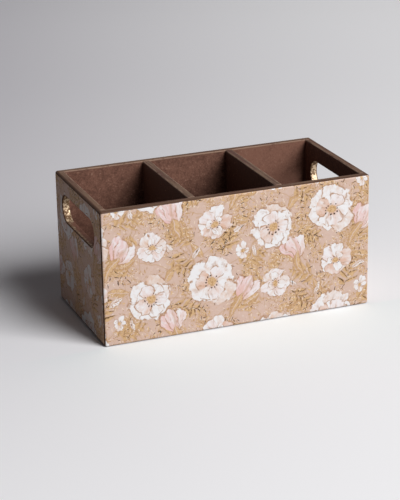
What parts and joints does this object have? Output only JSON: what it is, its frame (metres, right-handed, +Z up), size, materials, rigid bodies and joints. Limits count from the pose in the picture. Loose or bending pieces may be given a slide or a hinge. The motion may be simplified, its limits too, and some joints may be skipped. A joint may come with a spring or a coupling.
{
  "type": "cutlery organizer",
  "caption": "Open-top cutlery organizer of painted boards with fixed dividers, a slotted hand hole in each end and a floral printed sheet on each outer face.",
  "frame": {"origin": "middle of the footprint, on the surface that the organizer stands on", "axes": "+X along the length towards the right end, +Y from the front to the back, +Z up"},
  "size_m": [0.2504, 0.128, 0.122],
  "materials": {
    "painted_board": "fibreboard with matte brown paint, slightly open at the sanded edges",
    "gilt_end_board": "fibreboard with matte brown paint, and gold paint on the inside edge of the hand hole",
    "printed_sheet": "satin printed sheet, white flowers and gold leaves on dusty pink",
    "brad_steel": "bright flat wire brads, hidden in the boards"
  },
  "bodies": {
    "root": {"front_panel": "painted_board", "back_panel": "painted_board", "base_panel": "painted_board", "left_divider": "painted_board", "right_divider": "painted_board", "left_end_panel": "gilt_end_board", "right_end_panel": "gilt_end_board", "front_print": "printed_sheet", "back_print": "printed_sheet", "left_print": "printed_sheet", "right_print": "printed_sheet", "corner_brads": "brad_steel", "divider_brads": "brad_steel", "base_brads": "brad_steel"}
  },
  "joints": []
}
